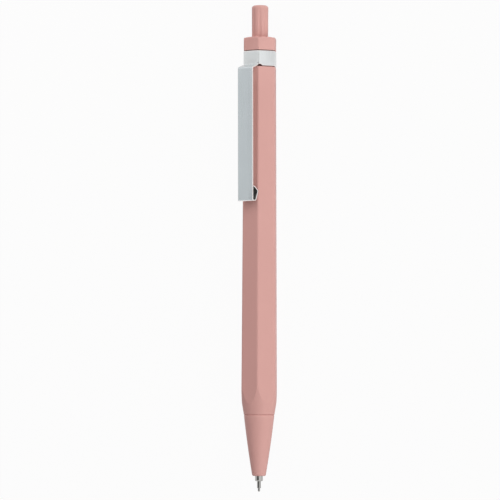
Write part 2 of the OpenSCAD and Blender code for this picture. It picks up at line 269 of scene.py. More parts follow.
def smooth_piece(name: str, mesh: bpy.types.Mesh, crease: float) -> bpy.types.Object:
    """Link a mesh as a smooth-shaded object.

    Args:
        name: Name of the piece.
        mesh: Its mesh.
        crease: Edges that turn more than this, in degrees, stay sharp.

    Returns:
        The new object.
    """
    shape = bmesh.new()
    shape.from_mesh(mesh)
    bmesh.ops.remove_doubles(shape, verts=shape.verts, dist=WELD)
    bmesh.ops.recalc_face_normals(shape, faces=shape.faces)
    for face in shape.faces:
        face.smooth = True
    for edge in shape.edges:
        edge.smooth = edge.calc_face_angle(0) < math.radians(crease)
    shape.to_mesh(mesh)
    shape.free()
    piece = bpy.data.objects.new(name, mesh)
    bpy.context.scene.collection.objects.link(piece)
    weighted = piece.modifiers.new("even_normals", "WEIGHTED_NORMAL")
    weighted.keep_sharp = True
    return piece


def wrapped(
    name: str, rows: Iterable[Iterable[Point]], crease: float, marked: range = range(0)
) -> bpy.types.Object:
    """Make a piece of rings that follow one another round its skin, the first after the last.

    Args:
        name: Name of the piece.
        rows: The points of each ring, a single one where the skin meets the axis.
        crease: Edges that turn more than this, in degrees, stay sharp.
        marked: Numbers of the strips with the second finish of the piece.

    Returns:
        The new piece.
    """
    shell = Shell()
    rings = [shell.ring(row) for row in rows]
    for i, (low, high) in enumerate(zip(rings, [*rings[1:], rings[0]])):
        if len(low) + len(high) > 2:
            shell.join(low, high, 1 if i in marked else 0)
    return shell.piece(name, crease)


def lathe(name: str, outline: Sequence[Flat], steps: int, crease: float) -> bpy.types.Object:
    """Turn a closed outline of radii and places round the pen's axis."""
    return wrapped(name, turned(outline, full_turn(steps)), crease)


@dataclass(frozen=True)
class Column:
    """One place on the way round a hexagon with rounded corners."""

    face: int
    place: float
    turn: float | None = None

    def point(self, half: float, corner: float) -> Flat:
        """Give the column's point on a hexagon.

        Args:
            half: Half the width across the flats.
            corner: Radius of the rounded corners.

        Returns:
            The point's x and y.
        """
        if self.turn is None:
            local = Vector((half, self.place * (half - corner) * math.tan(HALF_FACE)))
        else:
            reach = (half - corner) / math.cos(HALF_FACE)
            local = Vector((math.cos(HALF_FACE), math.sin(HALF_FACE))) * reach
            angle = HALF_FACE + self.turn
            local += Vector((math.cos(angle), math.sin(angle))) * corner
        return tuple(Matrix.Rotation(2 * HALF_FACE * self.face, 2) @ local)

    def spot(self, half: float, corner: float, s: float) -> Point:
        """Give the column's point on a hexagon at a place along the pen."""
        return (*self.point(half, corner), s)

    def bearing(self, half: float, corner: float) -> float:
        """Give the angle round the axis of the column's point on a hexagon."""
        x, y = self.point(half, corner)
        return math.atan2(y, x)

    def outward(self) -> Flat:
        """Give the direction square to the hexagon's side here."""
        angle = 2 * HALF_FACE * self.face + (0 if self.turn is None else HALF_FACE + self.turn)
        return math.cos(angle), math.sin(angle)


def hexagon_columns(places: Sequence[float], corner_steps: int) -> list[Column]:
    """List the columns round a hexagon.

    Args:
        places: Places on half of each flat, falling from 1 at the corner towards the middle.
        corner_steps: Steps round each corner.

    Returns:
        The columns in order, starting on the flat under the clip.
    """
    across = [*(-place for place in places), 0, *reversed(places)]
    turns = spread(-HALF_FACE, HALF_FACE, corner_steps)[1:-1]
    columns: list[Column] = []
    for face in range(FACES):
        columns += [Column(face, place) for place in across]
        columns += [Column(face, 1, turn) for turn in turns]
    return columns


@dataclass
class Graph:
    """A node tree with short ways to add and link its nodes."""

    tree: bpy.types.NodeTree

    def feed(self, node: bpy.types.Node, values: dict) -> None:
        """Set or link the inputs of a node.

        Args:
            node: The node.
            values: Values or sockets for its inputs, by name or number.
        """
        for key, value in values.items():
            if isinstance(value, Socket):
                self.tree.links.new(value, node.inputs[key])
            else:
                node.inputs[key].default_value = value

    def add(self, kind: str, values: dict | None = None, **settings: object) -> bpy.types.Node:
        """Add a node.

        Args:
            kind: The node's type name.
            values: Values or sockets for its inputs, by name or number.
            settings: Attributes to set on the node.

        Returns:
            The new node.
        """
        node = self.tree.nodes.new(kind)
        for key, value in settings.items():
            setattr(node, key, value)
        self.feed(node, values or {})
        return node

    def result(self, operation: str, *values: float | Socket, clamp: bool = False) -> Socket:
        """Add a calculation.

        Args:
            operation: Its name.
            values: The values or sockets that go into it.
            clamp: Whether the result stays between 0 and 1.

        Returns:
            The result's socket.
        """
        inputs = dict(enumerate(values))
        node = self.add("ShaderNodeMath", inputs, operation=operation, use_clamp=clamp)
        return node.outputs[0]

    def place(self) -> Socket:
        """Give the place on the object."""
        return self.add("ShaderNodeTexCoord").outputs["Object"]

    def remap(self, value: Socket, source: Flat, target: Flat) -> Socket:
        """Map a value from one range to another.

        Args:
            value: The socket to map.
            source: Range of the value, clamped.
            target: Range of the result.

        Returns:
            The mapped value's socket.
        """
        limits = zip(("From Min", "From Max", "To Min", "To Max"), (*source, *target))
        node = self.add("ShaderNodeMapRange", {"Value": value, **dict(limits)})
        return node.outputs["Result"]


@dataclass
class Effects:
    """Surface effects that the materials share, each a node group built once."""

    noise_span: Flat = (0.3, 0.7)
    streak_share: float = 0.13
    flat_level: float = 0.5
    patch_size: float = 160.0
    patch_span: Flat = (0.35, 0.6)
    patch_levels: Flat = (0.2, 1)

    def __post_init__(self) -> None:
        """Build the groups."""
        self.mottle = self._mottle()
        self.grain = self._grain()
        self.worn_and_highlit_edges = self._worn_and_highlit_edges()
        self.length_shade = self._length_shade()

    @staticmethod
    def _group(
        name: str, inputs: dict[str, Kind], outputs: dict[str, Kind]
    ) -> tuple[Graph, dict[str, Socket], bpy.types.Node]:
        """Start a node group.

        Args:
            name: Name of the group.
            inputs: Kind of each input.
            outputs: Kind of each output.

        Returns:
            The group's graph, its input sockets by name, and its output node.
        """
        tree = bpy.data.node_groups.new(name, "ShaderNodeTree")
        for way, sockets in (("INPUT", inputs), ("OUTPUT", outputs)):
            for key, kind in sockets.items():
                tree.interface.new_socket(key, in_out=way, socket_type=kind.value)
        graph = Graph(tree)
        given = {socket.name: socket for socket in graph.add("NodeGroupInput").outputs}
        return graph, given, graph.add("NodeGroupOutput")

    def _mottle(self) -> bpy.types.NodeTree:
        """Build the group that varies a colour a little from place to place.

        Returns:
            The group.
        """
        graph, given, out = self._group(
            "soft_mottle",
            {"Colour": Kind.COLOUR, "Amount": Kind.NUMBER, "Size": Kind.NUMBER},
            {"Colour": Kind.COLOUR},
        )
        noise = graph.add(
            "ShaderNodeTexNoise",
            {"Vector": graph.place(), "Scale": given["Size"], "Detail": 4.0},
        )
        level = graph.remap(noise.outputs["Fac"], self.noise_span, (-1, 1))
        change = graph.result("MULTIPLY_ADD", level, given["Amount"], 1.0)
        tinted = graph.add(
            "ShaderNodeVectorMath", {0: given["Colour"], "Scale": change}, operation="SCALE"
        )
        graph.feed(out, {"Colour": tinted.outputs["Vector"]})
        return graph.tree

    def _grain(self) -> bpy.types.NodeTree:
        """Build the group that gives fine texture, stretched along any axis.

        Returns:
            The group.
        """
        graph, given, out = self._group(
            "fine_grain",
            {"Stretch": Kind.VECTOR, "Size": Kind.NUMBER},
            {"Height": Kind.NUMBER, "Streak": Kind.NUMBER},
        )
        drawn = graph.add(
            "ShaderNodeVectorMath", {0: graph.place(), 1: given["Stretch"]}, operation="MULTIPLY"
        ).outputs["Vector"]
        fine = graph.add(
            "ShaderNodeTexNoise",
            {"Vector": drawn, "Scale": given["Size"], "Detail": 3.0, "Roughness": 0.6},
        )
        wide = graph.result("MULTIPLY", given["Size"], self.streak_share)
        broad = graph.add("ShaderNodeTexNoise", {"Vector": drawn, "Scale": wide, "Detail": 2.0})
        graph.feed(out, {"Height": fine.outputs["Fac"], "Streak": broad.outputs["Fac"]})
        return graph.tree

    def _worn_and_highlit_edges(self) -> bpy.types.NodeTree:
        """Build the group that finds the sharp edges, which are lightened as wear and as a painted
        highlight.

        Returns:
            The group.
        """
        graph, given, out = self._group("worn_and_highlit_edges", {"Reach": Kind.NUMBER}, {"Mask": Kind.NUMBER})
        point = graph.add("ShaderNodeNewGeometry").outputs["Pointiness"]
        above = graph.result("SUBTRACT", point, self.flat_level)
        raised = graph.result("MULTIPLY", above, given["Reach"], clamp=True)
        patches = graph.add(
            "ShaderNodeTexNoise",
            {"Vector": graph.place(), "Scale": self.patch_size, "Detail": 3.0},
        )
        broken = graph.remap(patches.outputs["Fac"], self.patch_span, self.patch_levels)
        graph.feed(out, {"Mask": graph.result("MULTIPLY", raised, broken)})
        return graph.tree

    def _length_shade(self) -> bpy.types.NodeTree:
        """Build the group that tones a colour darker before a place along the pen, as painted
        shade.

        Returns:
            The group.
        """
        numbers = {"Start": Kind.NUMBER, "End": Kind.NUMBER}
        graph, given, out = self._group(
            "length_shade",
            {"Colour": Kind.COLOUR, "Tone": Kind.COLOUR, **numbers},
            {"Colour": Kind.COLOUR},
        )
        along = graph.add("ShaderNodeSeparateXYZ", {0: graph.place()}).outputs["X"]
        limits = {"From Min": given["Start"], "From Max": given["End"]}
        share = graph.add(
            "ShaderNodeMapRange",
            {"Value": along, **limits, "To Min": 1.0, "To Max": 0.0},
            interpolation_type="SMOOTHSTEP",
        )
        toned = graph.add(
            "ShaderNodeMix",
            {"Factor": share.outputs["Result"], "A": given["Colour"], "B": given["Tone"]},
            data_type="RGBA",
            blend_type="MULTIPLY",
        )
        graph.feed(out, {"Colour": toned.outputs["Result"]})
        return graph.tree


@dataclass(frozen=True)
class Shade:
    """A darker tone that a colour takes before a place along the pen: painted shade."""

    start: float
    end: float
    tone: Colour


@dataclass(frozen=True)
class Finish:
    """One finish of the pen: its colour, its gloss and the texture of its surface."""

    slot: str
    colour: Colour
    roughness: Flat
    mottle: float
    mottle_size: float
    grain_size: float
    grain_depth: float
    stretch: Point = (1, 1, 1)
    metallic: float = 0.0
    edge_worn_highlit_colour: Colour | None = None
    edge_reach: float = 8.0
    shade: Shade | None = None
    constants: tuple[tuple[str, float], ...] = ()

    def _colour(self, graph: Graph, effects: Effects) -> Socket:
        """Add the nodes of the finish's colour.

        Args:
            graph: The material's nodes.
            effects: The shared effect groups.

        Returns:
            The colour's socket.
        """
        colour = graph.add(
            "ShaderNodeGroup",
            {"Colour": (*self.colour, 1), "Amount": self.mottle, "Size": self.mottle_size},
            node_tree=effects.mottle,
        ).outputs["Colour"]
        if self.shade is not None:
            reach = {"Start": self.shade.start * MM, "End": self.shade.end * MM}
            colour = graph.add(
                "ShaderNodeGroup",
                {"Colour": colour, "Tone": (*self.shade.tone, 1), **reach},
                node_tree=effects.length_shade,
            ).outputs["Colour"]
        # Sharp edges are lightened: partly wear, partly a painted highlight.
        if self.edge_worn_highlit_colour is not None:
            worn_highlit_mask = graph.add(
                "ShaderNodeGroup", {"Reach": self.edge_reach}, node_tree=effects.worn_and_highlit_edges
            ).outputs["Mask"]
            colour = graph.add(
                "ShaderNodeMix",
                {"Factor": worn_highlit_mask, "A": colour, "B": (*self.edge_worn_highlit_colour, 1)},
                data_type="RGBA",
            ).outputs["Result"]
        return colour

    def material(self, effects: Effects) -> bpy.types.Material:
        """Build the finish as a material.

        Args:
            effects: The shared effect groups.

        Returns:
            The new material.
        """
        material = bpy.data.materials.new(self.slot)
        material.use_nodes = True
        graph = Graph(material.node_tree)
        shader = material.node_tree.nodes["Principled BSDF"]
        grain = graph.add(
            "ShaderNodeGroup",
            {"Stretch": self.stretch, "Size": self.grain_size},
            node_tree=effects.grain,
        ).outputs
        gloss = graph.remap(grain["Streak"], effects.noise_span, self.roughness)
        bump = graph.add(
            "ShaderNodeBump",
            {"Height": grain["Height"], "Strength": 1.0, "Distance": self.grain_depth * MM},
        ).outputs["Normal"]
        colour = self._colour(graph, effects)
        graph.feed(shader, {"Base Color": colour, "Roughness": gloss, "Normal": bump})
        graph.feed(shader, {"Metallic": self.metallic, **dict(self.constants)})
        return material


ROSE_PLASTIC = Finish(
    slot="rose_plastic",
    colour=(0.70, 0.393, 0.352),
    roughness=(0.44, 0.52),
    mottle=0.012,
    mottle_size=90,
    grain_size=9000,
    grain_depth=0.0012,
    # Lighter corners of the rose plastic: a painted highlight along the hexagon's edges.
    edge_worn_highlit_colour=(0.79, 0.46, 0.415),
    edge_reach=14.0,
    constants=(("Specular IOR Level", 0.4),),
)
# Painted shade: the neck under the band is coloured dark so that the gaps and the notches beside
# the band read as shadow.
NECK_PAINTED_SHADE = Finish(
    slot="rose_plastic",
    colour=(0.26, 0.12, 0.11),
    roughness=(0.6, 0.7),
    mottle=0.05,
    mottle_size=300,
    grain_size=7000,
    grain_depth=0.002,
)
CLIP_STEEL = Finish(
    slot="clip_steel",
    colour=(0.805, 0.832, 0.837),
    roughness=(0.22, 0.28),
    mottle=0.015,
    mottle_size=150,
    grain_size=7000,
    grain_depth=0.0006,
    stretch=(0.03, 1, 1),
    metallic=1.0,
    edge_worn_highlit_colour=(0.9, 0.89, 0.88),
    # Painted shade: the arm is toned darker and bluer than the band, standing in for its dimmer
    # reflection.
    shade=Shade(52.0, 53.6, (0.83, 0.87, 0.895)),
)
# Near-white steel of the sheet's cut edges, of the fold's outside and of the arm's underside:
# partly bare cut steel, partly a painted highlight along the rims and the fold.
CLIP_EDGE = Finish(
    slot="clip_steel",
    colour=(0.97, 0.94, 0.925),
    roughness=(0.3, 0.4),
    mottle=0.02,
    mottle_size=400,
    grain_size=6000,
    grain_depth=0.0008,
    stretch=(1, 1, 0.05),
    metallic=1.0,
)
# Painted shade: the inside of the folded foot is coloured darker than the steel, where its hollow
# lies in shade.
CLIP_INSIDE_PAINTED_SHADE = Finish(
    slot="clip_steel",
    colour=(0.36, 0.37, 0.355),
    roughness=(0.4, 0.55),
    mottle=0.04,
    mottle_size=300,
    grain_size=6000,
    grain_depth=0.001,
    metallic=1.0,
)
SPRING_STEEL = Finish(
    slot="spring_steel",
    colour=(0.55, 0.56, 0.58),
    roughness=(0.26, 0.36),
    mottle=0.04,
    mottle_size=600,
    grain_size=9000,
    grain_depth=0.001,
    metallic=1.0,
)
WHITE_NYLON = Finish(
    slot="white_nylon",
    colour=(0.8, 0.79, 0.74),
    roughness=(0.36, 0.48),
    mottle=0.02,
    mottle_size=200,
    grain_size=8000,
    grain_depth=0.001,
)
TUBE_PLASTIC = Finish(
    slot="tube_plastic",
    colour=(0.82, 0.84, 0.86),
    roughness=(0.16, 0.24),
    mottle=0.02,
    mottle_size=120,
    grain_size=5000,
    grain_depth=0.0008,
    stretch=(0.05, 1, 1),
    constants=(("Transmission Weight", 0.55), ("IOR", 1.49)),
)
TIP_NICKEL = Finish(
    slot="tip_nickel",
    colour=(0.56, 0.55, 0.53),
    roughness=(0.08, 0.13),
    mottle=0.02,
    mottle_size=500,
    grain_size=12000,
    grain_depth=0.0006,
    stretch=(1, 0.04, 0.04),
    metallic=1.0,
)
POINT_NICKEL = Finish(
    slot="tip_nickel",
    colour=(0.42, 0.415, 0.4),
    roughness=(0.08, 0.13),
    mottle=0.02,
    mottle_size=900,
    grain_size=15000,
    grain_depth=0.0005,
    stretch=(1, 0.04, 0.04),
    metallic=1.0,
)
BLUE_INK = Finish(
    slot="blue_ink",
    colour=(0.02, 0.045, 0.3),
    roughness=(0.05, 0.1),
    mottle=0.1,
    mottle_size=300,
    grain_size=2500,
    grain_depth=0.0015,
    stretch=(0.2, 1, 1),
)
FOLLOWER_GREASE = Finish(
    slot="follower_grease",
    colour=(0.75, 0.6, 0.26),
    roughness=(0.12, 0.22),
    mottle=0.06,
    mottle_size=700,
    grain_size=3000,
    grain_depth=0.002,
)
FINISHES = (
    ROSE_PLASTIC,
    NECK_PAINTED_SHADE,
    CLIP_STEEL,
    CLIP_EDGE,
    CLIP_INSIDE_PAINTED_SHADE,
    SPRING_STEEL,
    WHITE_NYLON,
    TUBE_PLASTIC,
    TIP_NICKEL,
    POINT_NICKEL,
    BLUE_INK,
    FOLLOWER_GREASE,
)


@dataclass
class Wardrobe:
    """The materials, by the finish that each was built from."""

    materials: dict[Finish, bpy.types.Material]

    @classmethod
    def made(cls) -> "Wardrobe":
        """Build every finish once."""
        effects = Effects()
        return cls({finish: finish.material(effects) for finish in FINISHES})

    def dress(self, piece: bpy.types.Object, *finishes: Finish) -> None:
        """Give a piece its finishes.

        Args:
            piece: The piece to dress.
            finishes: The finish of most of it, and then that of its marked faces.
        """
        if piece.data.materials:
            piece.data.materials.clear()
        for finish in finishes:
            piece.data.materials.append(self.materials[finish])


class Assembly:
    """A piece of the pen that takes the place of solids of the frame."""

    finishes: ClassVar[tuple[Finish, ...]] = (ROSE_PLASTIC,)

    def build(self) -> bpy.types.Object:
        """Make the piece."""
        raise NotImplementedError

    def settle(self, piece: bpy.types.Object) -> None:
        """Say what the piece replaces and which bodies it moves with."""
        raise NotImplementedError

    def dress(self, wardrobe: Wardrobe) -> list[bpy.types.Object]:
        """Build the piece, finish it and set it in its place.

        Args:
            wardrobe: The finished materials.

        Returns:
            The pieces made.
        """
        piece = self.build()
        wardrobe.dress(piece, *self.finishes)
        self.settle(piece)
        return [piece]


@dataclass
class Barrel(Assembly):
    """The tapered hexagonal barrel, turned to a cone at the nose end."""

    finishes: ClassVar[tuple[Finish, ...]] = (ROSE_PLASTIC, NECK_PAINTED_SHADE)
    length: float = 101.75
    half_wide: float = 4.975
    half_top: float = 4.54
    corner: float = 0.7
    cone_length: float = 7.4
    cone_wide: float = 5.625
    cone_bow: float = 0.027
    seam_radius: float = 4.45
    seam_bevel: float = 0.12
    seam_depth: float = 0.22
    shoulder_round: float = 0.12
    neck_half: float = 4.195
    neck_corner: float = 0.4
    neck_end: float = 106.45
    shoulder_gap: float = 0.14
    groove_half: float = 3.85
    low_groove_end: float = 102.1
    high_groove_start: float = 105.9
    pocket_radius: float = 3.9
    pocket_turn: float = 36.9
    pocket_half_turn: float = 9.0
    pocket_end: float = 103.1
    nose_bore: float = 3.5
    nose_bore_end: float = 10.0
    middle_bore: float = 3.2
    sleeve_start: float = 84.0
    arch_reach: float = 2.0
    arch_halvings: int = 40
    flat_start: float = 1.4
    cone_shares: tuple[float, ...] = (0, 0.03, 0.12, 0.3, 0.5, 0.7, 0.86, 0.95, 0.985)
    arch_shares: tuple[float, ...] = (0, 0.03, 0.1, 0.3, 0.6, 1)
    flat_steps: int = 12
    round_steps: int = 3
    corner_steps: int = 10
    crease: float = 40
    places: tuple[float, ...] = (1, 0.95, 0.9, 0.85, 0.8, 0.75, 0.7, 0.65, 0.6, 0.5, 0.34, 0.17)

    @property
    def shoulder(self) -> float:
        """Place of the shoulder below the metal band."""
        return self.length - self.shoulder_gap

    def half(self, s: float) -> float:
        """Give half the width across the flats at a place along the pen."""
        run = self.length - self.cone_length
        return self.half_wide + (self.half_top - self.half_wide) * (s - self.cone_length) / run

    def cone(self, s: float) -> float:
        """Give the radius of the turned end at a place along the pen."""
        t = s / self.cone_length
        straight = self.seam_radius + (self.cone_wide - self.seam_radius) * t
        return straight + 4 * self.cone_bow * t * (1 - t)

    def arch(self, column: Column) -> float:
        """Find where a column of the hexagon runs out in the cone.

        Args:
            column: The column.

        Returns:
            The place along the pen.
        """
        low, high = 0.0, self.cone_length + self.arch_reach
        for _ in range(self.arch_halvings):
            s = (low + high) / 2
            inside = math.hypot(*column.point(self.half(s), self.corner)) > self.cone(s)
            low, high = (s, high) if inside else (low, s)
        return low

    def _side_rows(self, columns: Sequence[Column]) -> list[list[Point]]:
        """Lay out the rows of the outside, from the seam to the shoulder.

        Args:
            columns: Columns round the hexagon.

        Returns:
            A list of rows, each with one point a column.
        """
        arches = [self.arch(c) for c in columns]
        turns = [c.bearing(self.half(s), self.corner) for c, s in zip(columns, arches)]
        rows = [[polar(self.seam_radius - self.seam_depth, a, 0) for a in turns]]
        for share in self.cone_shares:
            places = [self.seam_bevel + (end - self.seam_bevel) * share for end in arches]
            rows.append([polar(self.cone(s), a, s) for a, s in zip(turns, places)])
        plain = self.cone_length + self.flat_start
        for share in self.arch_shares:
            places = [start + (plain - start) * share for start in arches]
            rows.append([c.spot(self.half(s), self.corner, s) for c, s in zip(columns, places)])
        for s in spread(plain, self.shoulder - self.shoulder_round, self.flat_steps)[1:]:
            rows.append([c.spot(self.half(s), self.corner, s) for c in columns])
        for drop, back in rounding(self.shoulder_round, self.round_steps)[1:]:
            s = self.shoulder - back
            rows.append([c.spot(self.half(s) - drop, self.corner - drop, s) for c in columns])
        return rows

    def _neck_rows(self, columns: Sequence[Column]) -> list[list[Point]]:
        """Lay out the rows of the neck, with a groove at each end and pockets behind the notches.

        Args:
            columns: Columns round the hexagon.

        Returns:
            A list of rows, each with one point a column.
        """
        steps = (
            (self.groove_half, self.shoulder),
            (self.groove_half, self.low_groove_end),
            (self.neck_half, self.low_groove_end),
            (self.neck_half, self.pocket_end),
            (self.neck_half, self.high_groove_start),
            (self.groove_half, self.high_groove_start),
            (self.groove_half, self.neck_end),
        )
        rows = []
        for half, s in steps:
            row = []
            for column in columns:
                x, y = column.point(half, self.neck_corner)
                off = abs(math.degrees(math.atan2(abs(y), x)) - self.pocket_turn)
                if s <= self.pocket_end and off < self.pocket_half_turn:
                    shrink = self.pocket_radius / math.hypot(x, y)
                    x, y = x * shrink, y * shrink
                row.append((x, y, s))
            rows.append(row)
        return rows

    def build(self) -> bpy.types.Object:
        """Make the barrel with its neck and its stepped bore.

        Returns:
            The barrel.
        """
        columns = hexagon_columns(self.places, self.corner_steps)
        side, neck = self._side_rows(columns), self._neck_rows(columns)
        turns = [c.bearing(self.half_wide, self.corner) for c in columns]
        bore = (
            (self.nose_bore, self.neck_end),
            (self.nose_bore, self.sleeve_start),
            (self.middle_bore, self.sleeve_start),
            (self.middle_bore, self.nose_bore_end),
            (self.nose_bore, self.nose_bore_end),
            (self.nose_bore, 0),
        )
        # The neck's strips take the second finish, the dark neck colour that paints shade into the
        # gaps and notches.
        first = len(side) - 1
        rows = [*side, *neck, *turned(bore, turns)]
        return wrapped("barrel_skin", rows, self.crease, range(first, first + len(neck)))

    def settle(self, piece: bpy.types.Object) -> None:
        """Set the barrel on its body."""
        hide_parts("barrel")
        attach(piece, Body.PEN.value)


@dataclass
class Nose(Assembly):
    """The conical nose with its bore and the spigot that goes into the barrel."""

    length: float = 17.8
    seam_radius: float = 4.45
    seam_bevel: float = 0.12
    seam_depth: float = 0.22
    end_radius: float = 1.95
    bulge: float = 0.13
    end_round: float = 0.5
    guide_radius: float = 1.23
    guide_top: float = -10.2
    chamber_radius: float = 2.25
    spigot_radius: float = 3.46
    spigot_end: float = 9.0
    inner_round: float = 0.12
    side_steps: int = 28
    lip_steps: int = 9
    steps: int = 128
    crease: float = 35

    def radius(self, s: float) -> float:
        """Give the radius of the side at a place along the pen."""
        t = -s / self.length
        straight = self.seam_radius + (self.end_radius - self.seam_radius) * t
        return straight + 4 * self.bulge * t * (1 - t)

    def build(self) -> bpy.types.Object:
        """Make the nose.

        Returns:
            The nose.
        """
        round_start = self.end_round - self.length
        widest = self.radius(round_start)
        places = spread(-self.seam_bevel, round_start, self.side_steps)
        side = [(self.radius(s), s) for s in places]
        curve = rounding(self.end_round, self.lip_steps)[1:]
        lip = [(widest - drop, back - self.length) for drop, back in curve]
        seam = (self.seam_radius - self.seam_depth, 0)
        inside = softened(
            [
                (self.guide_radius, -self.length),
                (self.guide_radius, self.guide_top),
                (self.chamber_radius, self.guide_top),
                (self.chamber_radius, self.spigot_end),
                (self.spigot_radius, self.spigot_end),
                (self.spigot_radius, 0),
                seam,
                (widest - self.end_round, -self.length),
            ],
            self.inner_round,
        )
        outline = [*side, *lip, *inside[: -ROUND_STEPS - 1], seam]
        return lathe("nose_skin", outline, self.steps, self.crease)

    def settle(self, piece: bpy.types.Object) -> None:
        """Set the nose on its body."""
        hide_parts("nose_cone")
        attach(piece, Body.NOSE.value)


@dataclass
class Collar(Assembly):
    """The hexagonal head above the metal band, with the hole for the button."""

    seat: float = 106.46
    top: float = 110.35
    half: float = 4.565
    corner: float = 0.66
    top_round: float = 0.34
    corner_fall: float = 0.16
    fall_power: int = 3
    seat_round: float = 0.06
    hole: float = 2.505
    hole_round: float = 0.14
    spigot: float = 3.48
    spigot_end: float = 100.45
    seat_steps: int = 2
    top_steps: int = 5
    hole_steps: int = 3
    corner_steps: int = 10
    crease: float = 40
    places: tuple[float, ...] = (1, 0.8, 0.4)

    def build(self) -> bpy.types.Object:
        """Make the collar.

        Returns:
            The collar.
        """
        columns = hexagon_columns(self.places, self.corner_steps)
        rows = [
            [c.spot(self.half - drop, self.corner - drop, self.seat + back) for c in columns]
            for drop, back in reversed(rounding(self.seat_round, self.seat_steps))
        ]
        falls = [self.corner_fall * abs(c.place) ** self.fall_power for c in columns]
        for drop, back in rounding(self.top_round, self.top_steps):
            half, corner, s = self.half - drop, self.corner - drop, self.top - back
            rows.append([c.spot(half, corner, s - fall) for c, fall in zip(columns, falls)])
        lip = rounding(self.hole_round, self.hole_steps)
        inside = [
            *((self.hole + back, self.top - drop) for drop, back in lip),
            (self.hole, self.spigot_end),
            (self.spigot, self.spigot_end),
            (self.spigot, self.seat),
        ]
        turns = [c.bearing(self.half, self.corner) for c in columns]
        return wrapped("collar_skin", [*rows, *turned(inside, turns)], self.crease)

    def settle(self, piece: bpy.types.Object) -> None:
        """Set the collar on its body."""
        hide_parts("top_collar")
        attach(piece, Body.PEN.value)


@dataclass
class Button(Assembly):
    """The round push button with its shallow flutes."""

    radius: float = 2.425
    low: float = 94.9
    collar_top: float = 110.35
    top: float = 119.85
    top_round: float = 0.8
    stem_hole: float = 1.62
    stem_depth: float = 17.05
    flutes: int = 8
    flute_turn: float = 33.0
    flute_radius: float = 0.8
    flute_depth: float = 0.26
    flute_start: float = 0.5
    flute_fade: float = 2.6
    flute_below: float = 7.0
    steps: int = 240
    side_steps: int = 24
    round_steps: int = 9
    crown_rings: Flat = (1.2, 0.6)
    crease: float = 40

    def side(self, angle: float, s: float) -> float:
        """Give the radius of the fluted side.

        Args:
            angle: Angle round the axis.
            s: Place along the pen.

        Returns:
            The radius there.
        """
        share = math.tau / self.flutes
        off = (angle - math.radians(self.flute_turn) + share / 2) % share - share / 2
        below = self.top - s
        fall = below / (self.top - self.collar_top)
        deepening = self.flute_start + (1 - self.flute_start) * fall
        depth = self.flute_depth * deepening * ease(below / self.flute_fade)
        centre = self.radius + self.flute_radius - depth
        reach = self.flute_radius**2 - (centre * math.sin(off)) ** 2
        if reach <= 0:
            return self.radius
        return min(self.radius, centre * math.cos(off) - math.sqrt(reach))

    def build(self) -> bpy.types.Object:
        """Make the button.

        Returns:
            The button.
        """
        turns = full_turn(self.steps)
        start, end = self.collar_top - self.flute_below, self.top - self.top_round
        levels = [(0, s) for s in (self.low, *spread(start, end, self.side_steps))]
        curve = rounding(self.top_round, self.round_steps)[1:]
        levels += [(drop, self.top - back) for drop, back in curve]
        rows = [[polar(self.side(a, s) - drop, a, s) for a in turns] for drop, s in levels]
        crown = [(r, self.top) for r in (*self.crown_rings, 0)]
        hole = self.low + self.stem_depth
        stem = [(0, hole), (self.stem_hole, hole), (self.stem_hole, self.low)]
        return wrapped("button_skin", [*rows, *turned([*crown, *stem], turns)], self.crease)

    def settle(self, piece: bpy.types.Object) -> None:
        """Set the button on its body."""
        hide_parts("push_button")
        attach(piece, Body.BUTTON.value)


@dataclass
class Sheet:
    """The surface through the middle of a thin sheet, in the pen's axes."""

    points: list[Vector] = field(default_factory=list)
    normals: list[Vector] = field(default_factory=list)
    faces: list[Face] = field(default_factory=list)

    def open_edges(self) -> tuple[list[tuple[int, int]], dict[int, Vector]]:
        """Find the open edges of the surface.

        Returns:
            The point numbers of each open edge, and for each point on one the way out of the
            surface.
        """
        owners: dict[frozenset[int], list[tuple[int, int, Vector]]] = {}
        for face in self.faces:
            centre = sum((self.points[i] for i in face), Vector((0, 0, 0))) / len(face)
            for a, b in zip(face, (*face[1:], face[0])):
                owners.setdefault(frozenset((a, b)), []).append((a, b, centre))
        edges: list[tuple[int, int]] = []
        away: dict[int, Vector] = {}
        for a, b, centre in (found[0] for found in owners.values() if len(found) == 1):
            along = (self.points[b] - self.points[a]).normalized()
            way = self.points[a] - centre
            way = (way - along * way.dot(along)).normalized()
            edges.append((a, b))
            for i in (a, b):
                away[i] = away.get(i, Vector((0, 0, 0))) + way
        return edges, away


